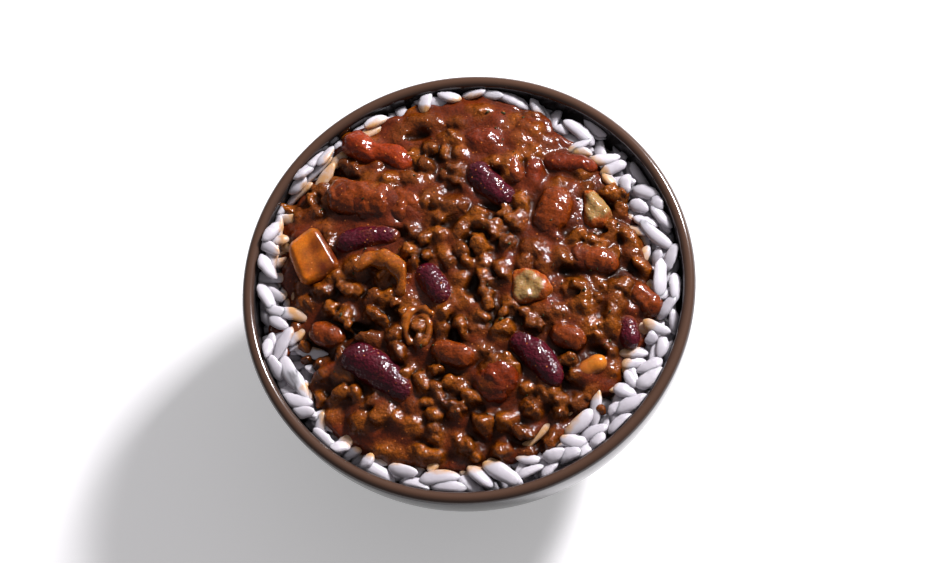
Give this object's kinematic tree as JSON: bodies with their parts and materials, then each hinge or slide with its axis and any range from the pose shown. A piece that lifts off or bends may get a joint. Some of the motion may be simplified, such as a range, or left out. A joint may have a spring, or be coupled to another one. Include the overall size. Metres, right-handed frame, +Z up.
{
  "type": "bowl of chili con carne on rice",
  "caption": "Small dark bowl filled with white rice under a thick heap of meat and bean chili, with beans and diced vegetables standing in its sauce.",
  "frame": {"origin": "centre of the bowl's foot ring, on the table", "axes": "+Z up out of the bowl, -Y towards the diner, +X to the diner's right"},
  "size_m": [0.0994, 0.0994, 0.0505],
  "materials": {
    "bowl": "dark, almost black glaze with a soft shine",
    "rice": "moist cooked long-grain rice, white with a soft shine",
    "chili": "wet red-brown meat sauce",
    "kidney_bean": "dark purple-red bean skin, wet",
    "coated_bean": "piece under a film of red-brown sauce",
    "pale_bean": "orange-yellow kernel, wet",
    "carrot": "cooked carrot under thin sauce",
    "celery": "pale olive cooked celery, wet",
    "tomato": "cooked red tomato skin, wet",
    "onion": "soft brown cooked onion, wet"
  },
  "bodies": {
    "root": {"bowl": "bowl", "rice": "rice", "chili": "chili", "kidney_bean_1": "kidney_bean", "kidney_bean_2": "kidney_bean", "kidney_bean_3": "kidney_bean", "kidney_bean_4": "kidney_bean", "kidney_bean_5": "kidney_bean", "kidney_bean_6": "kidney_bean", "kidney_bean_7": "kidney_bean", "coated_bean_1": "coated_bean", "coated_bean_2": "coated_bean", "coated_bean_3": "coated_bean", "coated_bean_4": "coated_bean", "coated_bean_5": "coated_bean", "coated_bean_6": "coated_bean", "pale_bean": "pale_bean", "tomato_chunk_1": "coated_bean", "tomato_chunk_2": "tomato", "tomato_chunk_3": "tomato", "tomato_chunk_4": "tomato", "tomato_chunk_5": "coated_bean", "tomato_chunk_6": "tomato", "carrot_dice": "carrot", "celery_dice_1": "celery", "celery_dice_2": "celery", "tomato_fold": "tomato", "onion_slice": "onion", "onion_ring": "onion"}
  },
  "joints": []
}
